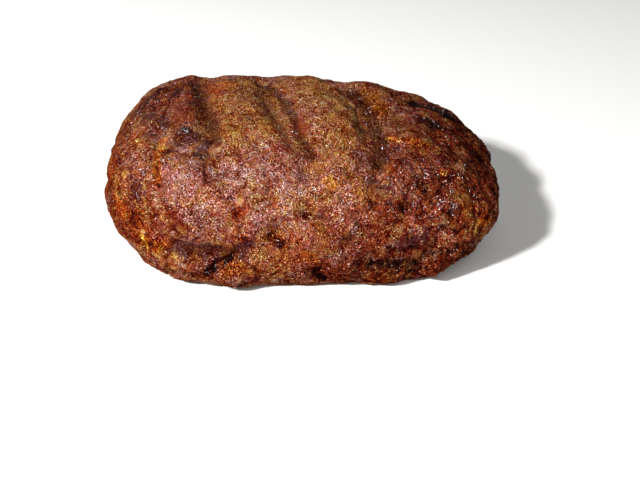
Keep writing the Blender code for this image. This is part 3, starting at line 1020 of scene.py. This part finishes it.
@dataclass
class Loaf:
    """The whole loaf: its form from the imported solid, its crust from the relief and the patches.

    A pair of metres here runs from where a change starts to where it is complete.
    """

    node: str = "liver_roll"
    voxel: float = 0.00098
    weld: float = 0.00001
    quad_angle: float = math.radians(70)
    quiet_from: float = 0.0006
    quiet_height: float = 0.0018
    base_height: float = 0.0004
    coarse_right: Span = (0.030, 0.075)
    coarse_knob: Span = (0.055, 0.085)
    coarse_foot: Span = (0.040, 0.012)
    basted_from: Span = (0.020, 0.055)
    # How much deeper, coarser, darker or greasier each part is than the rest.
    furrow_dip: float = 0.7
    pit_dip: float = 1.3
    plain_coarse: float = 0.38
    right_coarse: float = 0.62
    knob_coarse: float = 0.55
    foot_coarse: float = 0.40
    panel_calm: float = 0.85
    right_browned: float = 0.15
    foot_browned: float = 0.14
    spot_browned: float = 0.20
    low_basted: float = 0.15
    char_and_shade_basted: float = 0.6
    relief: CrustRelief = CrustRelief()
    crust: BrownedCrust = BrownedCrust()

    def build(self) -> bpy.types.Object:
        """Makes the loaf in place of the plain solid.

        Returns:
            The finished piece.
        """
        piece = self.smooth_form()
        self.mark(piece)
        self.roughen(piece)
        self.flatten_base(piece)
        self.paint(piece)
        piece.data.materials.clear()
        piece.data.materials.append(self.crust.material())
        only(piece)
        bpy.ops.object.shade_smooth()
        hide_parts(self.node)
        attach(piece, "root")
        return piece

    def smooth_form(self) -> bpy.types.Object:
        """Copies the solid, merges it, rounds its facets and meshes it evenly and finely.

        Returns:
            The piece, still without its crust.
        """
        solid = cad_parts[self.node]
        piece = bpy.data.objects.new("roast_crust", solid.data.copy())
        bpy.context.scene.collection.objects.link(piece)
        only(piece)
        bpy.ops.object.mode_set(mode="EDIT")
        bpy.ops.mesh.select_all(action="SELECT")
        bpy.ops.mesh.remove_doubles(threshold=self.weld)
        bpy.ops.mesh.tris_convert_to_quads(face_threshold=self.quad_angle, shape_threshold=self.quad_angle)
        bpy.ops.object.mode_set(mode="OBJECT")
        rounding = piece.modifiers.new("rounding", "SUBSURF")
        rounding.levels = rounding.render_levels = 2
        bpy.ops.object.modifier_apply(modifier=rounding.name)
        even = piece.modifiers.new("even", "REMESH")
        even.mode = "VOXEL"
        even.voxel_size = self.voxel
        bpy.ops.object.modifier_apply(modifier=even.name)
        return piece

    def points(self, piece: bpy.types.Object) -> np.ndarray:
        """The piece's vertex positions, one a row."""
        flat = np.empty(len(piece.data.vertices) * 3, np.float32)
        piece.data.vertices.foreach_get("co", flat)
        return flat.reshape(-1, 3).astype(float)

    def store(self, piece: bpy.types.Object, name: str, values: np.ndarray) -> None:
        """Keeps a number or a position for each vertex in a named attribute."""
        kind, field = ("FLOAT", "value") if values.ndim == 1 else ("FLOAT_VECTOR", "vector")
        attribute = piece.data.attributes.new(name, kind, "POINT")
        attribute.data.foreach_set(field, values.ravel().astype(np.float32))

    def weigh(self, points: np.ndarray, patch: Patch) -> np.ndarray:
        """How much of a kind of patch its spots lay at each point.

        Args:
            points: positions on the crust, one a row.
            patch: the kind.

        Returns:
            The weight of the strongest spot at each point.
        """
        return np.max([spot.weight(points) for spot in SPOTS[patch]], axis=0)

    def mark(self, piece: bpy.types.Object) -> None:
        """Marks what differs over the loaf: how it bulges, how coarse, ruddy, browned and greasy it is.

        The right end and the knob at the left are coarse and ruddy, the foot is coarse and dark, and
        the dry panels are fine. Fat basted the top, and the relief fades out towards the base.

        Args:
            piece: the smooth loaf, which gets an attribute for each.
        """
        points = self.points(piece)
        along, height = points[:, 0], points[:, 2]
        right = np.interp(along, self.coarse_right, (0.0, 1.0))
        knob = np.interp(-along, self.coarse_knob, (0.0, 0.5))
        foot = np.interp(-height, [-level for level in self.coarse_foot], (0.0, 1.0))
        spots = {patch: self.weigh(points, patch) for patch in Patch}
        dry = np.clip(spots[Patch.PANEL], 0.0, 1.0)
        dips = self.furrow_dip * spots[Patch.SHADED_FURROW] + self.pit_dip * spots[Patch.SHADED_PIT]
        coarse = self.plain_coarse + self.right_coarse * right
        coarse += self.knob_coarse * knob + self.foot_coarse * foot
        browned = self.right_browned * right + self.foot_browned * foot
        browned += self.spot_browned * (spots[Patch.ROASTED] - spots[Patch.PALE])
        basted = np.interp(height, self.basted_from, (self.low_basted, 1.0))
        self.store(piece, "as_shaped", points)
        self.store(piece, "bulge", dry - dips)
        self.store(piece, "ruddy", right + knob)
        self.store(piece, "coarse", coarse * (1.0 - self.panel_calm * dry))
        self.store(piece, "browned", browned)
        self.store(piece, "basted", basted + self.char_and_shade_basted * spots[Patch.CHAR_AND_SHADE])
        self.store(piece, "quiet", np.clip((height - self.quiet_from) / self.quiet_height, 0.0, 1.0))

    def roughen(self, piece: bpy.types.Object) -> None:
        """Raises the crust's cracks, clods, grains and pits in the mesh."""
        only(piece)
        relief = piece.modifiers.new("crust_relief", "NODES")
        relief.node_group = self.relief.tree()
        bpy.ops.object.modifier_apply(modifier=relief.name)

    def flatten_base(self, piece: bpy.types.Object) -> None:
        """Lets the flat base be a few large faces."""
        facing_down = -0.999
        only(piece)
        bpy.ops.object.mode_set(mode="EDIT")
        bpy.ops.mesh.select_all(action="DESELECT")
        bpy.ops.object.mode_set(mode="OBJECT")
        for face in piece.data.polygons:
            face.select = face.center.z < self.base_height and face.normal.z < facing_down
        bpy.ops.object.mode_set(mode="EDIT")
        bpy.ops.mesh.dissolve_limited(angle_limit=math.radians(2))
        bpy.ops.object.mode_set(mode="OBJECT")

    def paint(self, piece: bpy.types.Object) -> None:
        """Lays each kind of patch where its spots are."""
        points = self.points(piece)
        for patch in Patch:
            self.store(piece, patch.value, self.weigh(points, patch))


@dataclass(frozen=True)
class Lamp:
    """A square lamp aimed at the loaf. It either lights it or only glints in its grease."""

    name: str
    place: Point
    size: float
    watts: float
    glints: bool
    target: Point = (0.0, 0.0, 0.03)

    def hang(self) -> None:
        """Adds the lamp to the scene."""
        aim = Vector(self.target) - Vector(self.place)
        bpy.ops.object.light_add(type="AREA", location=self.place)
        light = bpy.context.object
        light.name = self.name
        light.data.size = self.size
        light.data.energy = self.watts
        light.visible_glossy = self.glints
        light.visible_diffuse = not self.glints
        light.rotation_euler = aim.to_track_quat("-Z", "Y").to_euler()


@dataclass
class Studio:
    """A plain pale floor, soft light from the upper left, and the camera."""

    target: Point = (0.0093, -0.0103, 0.0)
    azimuth: float = 1.8
    elevation: float = 35.0
    distance: float = 0.505
    lens: float = 50.0
    floor_size: float = 6.0
    floor_colour: str = "#fbfaf7"
    surround: float = 0.10
    lamps: tuple[Lamp, ...] = (
        Lamp("key", (-0.75, -0.85, 0.95), 0.13, 38.5, False),
        Lamp("fill", (0.35, -1.2, 1.5), 1.2, 12.5, False),
        Lamp("shine", (-0.70, -0.85, 1.00), 0.14, 36.0, True),
        Lamp("right_shine", (0.50, -0.80, 0.70), 0.14, 15.0, True),
        Lamp("back_shine", (-0.35, 0.55, 1.50), 0.14, 11.0, True),
        Lamp("low_back_shine", (-0.60, 1.05, 0.62), 0.10, 2.5, True),
    )

    def build(self) -> None:
        """Makes the floor, the lights, the world and the camera."""
        self.floor()
        self.light()
        self.camera()
        bpy.context.scene.view_settings.view_transform = "Standard"

    def floor(self) -> None:
        """A pale floor under the loaf."""
        bpy.ops.mesh.primitive_plane_add(size=self.floor_size, location=(0.0, 0.0, 0.0))
        floor = bpy.context.object
        floor.name = "pale_floor"
        # Painted board: even and matt, so that nothing shows on it but the soft shadow.
        material = bpy.data.materials.new("matt_white_board")
        material.use_nodes = True
        shader = material.node_tree.nodes["Principled BSDF"]
        shader.inputs["Base Color"].default_value = linear(self.floor_colour)
        shader.inputs["Roughness"].default_value = 0.6
        floor.data.materials.append(material)
        floor.visible_glossy = False

    def light(self) -> None:
        """A key from the upper left, a wide fill, a white surround, and lamps for the glints."""
        world = bpy.data.worlds.new("white_surround")
        world.use_nodes = True
        background = world.node_tree.nodes["Background"]
        background.inputs["Color"].default_value = (1.0, 1.0, 1.0, 1.0)
        background.inputs["Strength"].default_value = self.surround
        world.cycles_visibility.glossy = False
        bpy.context.scene.world = world
        for lamp in self.lamps:
            lamp.hang()

    def camera(self) -> None:
        """The camera at the photo's height and side."""
        side, up = math.radians(self.azimuth), math.radians(self.elevation)
        back = Vector((math.sin(side) * math.cos(up), -math.cos(side) * math.cos(up), math.sin(up)))
        bpy.ops.object.camera_add(location=Vector(self.target) + back * self.distance)
        camera = bpy.context.object
        camera.data.lens = self.lens
        camera.data.clip_start = 0.01
        camera.rotation_mode = "QUATERNION"
        camera.rotation_quaternion = (-back).to_track_quat("-Z", "Y")
        bpy.context.scene.camera = camera


def main() -> None:
    """Builds the loaf and the studio, and reports each."""
    logging.basicConfig(level=logging.INFO, format="%(name)s: %(message)s")
    loaf = Loaf().build()
    LOG.info("%s has %d faces", loaf.name, len(loaf.data.polygons))
    Studio().build()
    LOG.info("studio is set")


if __name__ == "__main__":
    main()
